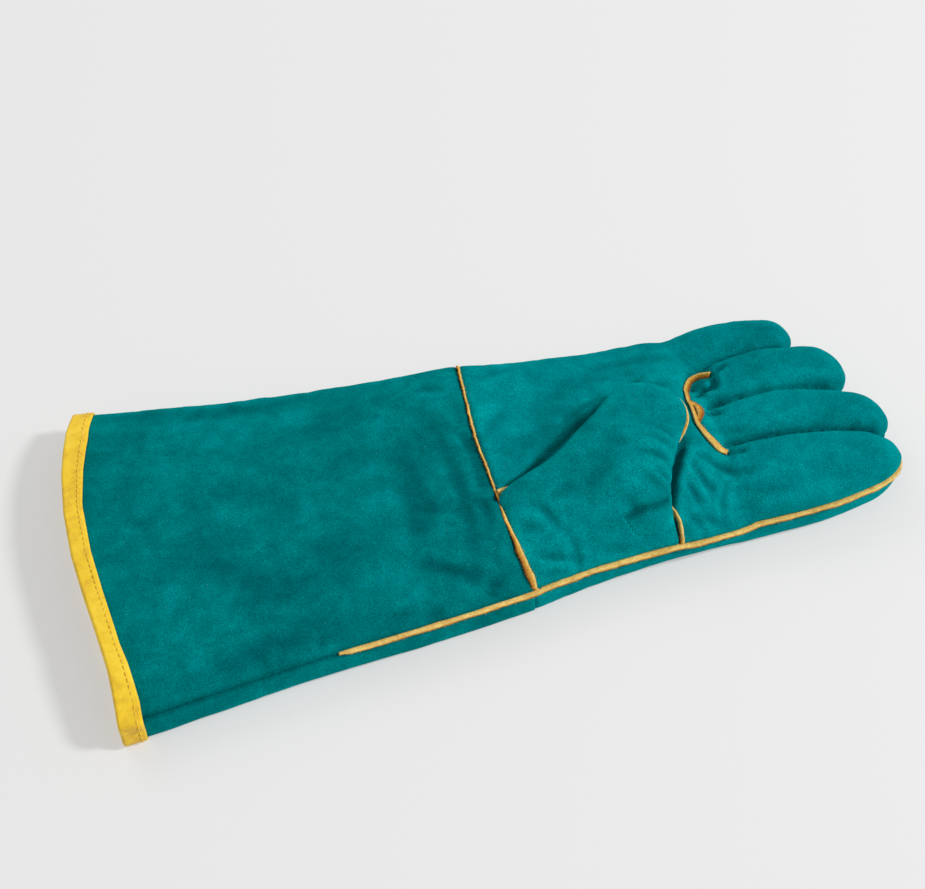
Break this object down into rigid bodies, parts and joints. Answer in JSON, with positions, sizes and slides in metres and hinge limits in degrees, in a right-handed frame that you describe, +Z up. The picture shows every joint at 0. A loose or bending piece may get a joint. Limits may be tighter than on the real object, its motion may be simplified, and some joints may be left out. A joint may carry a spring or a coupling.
{
  "type": "welding gauntlet",
  "caption": "Right-hand leather welding gauntlet lying palm up, its flared cuff open and its thumb folded over the palm, with welted seams and a bound hem.",
  "frame": {"origin": "bottom centre of the bounding box, on the surface the glove lies on", "axes": "+X from the cuff's mouth to the fingertips, +Y towards the little finger, +Z up out of the palm"},
  "size_m": [0.4094, 0.1894, 0.0486],
  "materials": {
    "suede": "teal split cowhide with a fibrous nap",
    "piping": "cream-yellow leather, cut and sewn into the seams as welts",
    "binding": "bright yellow matt binding tape, stitched"
  },
  "bodies": {
    "root": {"cuff_palm": "suede", "cuff_back": "suede", "palm": "suede", "finger_fronts": "suede", "hand_back": "suede", "thumb_upper": "suede", "thumb_under": "suede", "side_welt_near": "piping", "side_welt_far": "piping", "wrist_welt": "piping", "finger_welt": "piping", "thumb_base_welt": "piping", "thumb_welt": "piping", "hem_binding": "binding"}
  },
  "joints": []
}
